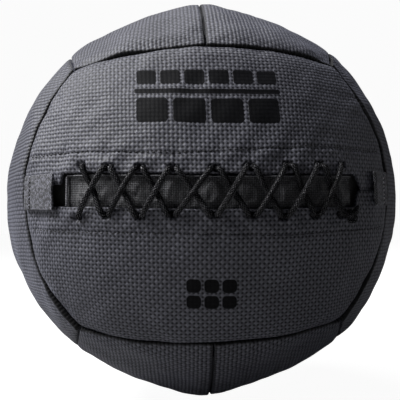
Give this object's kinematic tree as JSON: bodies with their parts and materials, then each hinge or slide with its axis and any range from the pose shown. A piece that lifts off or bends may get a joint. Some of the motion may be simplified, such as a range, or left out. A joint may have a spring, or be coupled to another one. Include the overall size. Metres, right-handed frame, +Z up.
{
  "type": "medicine ball",
  "caption": "Soft medicine ball: a sewn cover of woven half panels over padding and a weighted core, closed by a laced front opening with a webbing tab at each end.",
  "frame": {"origin": "centre of the ball", "axes": "+Z up through the top seam, +X to the ball's right, and the laced opening faces -Y"},
  "size_m": [0.3498, 0.3526, 0.3498],
  "materials": {
    "woven_cover": "coarse basket weave with a dull coating",
    "tongue_cloth": "fine plain weave",
    "lace_cord": "glossy braided cord",
    "stitch_thread": "waxed thread",
    "webbing": "fine ribbed webbing",
    "foam": "open-cell foam",
    "liner_cloth": "plain lining cloth",
    "fibre": "loose fibre wadding",
    "core_cloth": "coarse plain canvas",
    "granules": "sand and iron grit",
    "core_cord": "twisted cord"
  },
  "bodies": {
    "ball": {"front_upper_panel": "woven_cover", "front_lower_panel": "woven_cover", "back_upper_panel": "woven_cover", "back_lower_panel": "woven_cover", "top_left_panel": "woven_cover", "top_right_panel": "woven_cover", "bottom_left_panel": "woven_cover", "bottom_right_panel": "woven_cover", "left_front_panel": "woven_cover", "left_back_panel": "woven_cover", "right_front_panel": "woven_cover", "right_back_panel": "woven_cover", "lacing_tongue": "tongue_cloth", "lace_upper_start": "lace_cord", "lace_lower_start": "lace_cord", "lace_knot": "lace_cord", "upper_hem_stitch": "stitch_thread", "lower_hem_stitch": "stitch_thread", "left_tab_stitch": "stitch_thread", "right_tab_stitch": "stitch_thread", "left_tab_base": "webbing", "right_tab_base": "webbing", "upper_hem_webbing": "webbing", "lower_hem_webbing": "webbing", "back_seam_tape": "webbing", "top_seam_tape": "webbing", "bottom_seam_tape": "webbing", "left_seam_tape": "webbing", "right_seam_tape": "webbing", "front_foam_pad": "foam", "back_foam_pad": "foam", "top_foam_pad": "foam", "bottom_foam_pad": "foam", "left_foam_pad": "foam", "right_foam_pad": "foam", "liner_bag": "liner_cloth", "upper_fibre_filling": "fibre", "lower_fibre_filling": "fibre", "core_bag": "core_cloth", "core_granules": "granules", "core_tie": "core_cord"},
    "left_flap": {"left_tab_flap": "webbing"},
    "right_flap": {"right_tab_flap": "webbing"}
  },
  "joints": [
    {"name": "left_flap_lift", "type": "hinge", "parent": "ball", "child": "left_flap", "pos_m": [-0.13352, -0.11204, 0], "axis": [0, 0, -1], "range_deg": [0, 40]},
    {"name": "right_flap_lift", "type": "hinge", "parent": "ball", "child": "right_flap", "pos_m": [0.13546, -0.10969, 0], "axis": [0, 0, 1], "range_deg": [0, 40]}
  ]
}
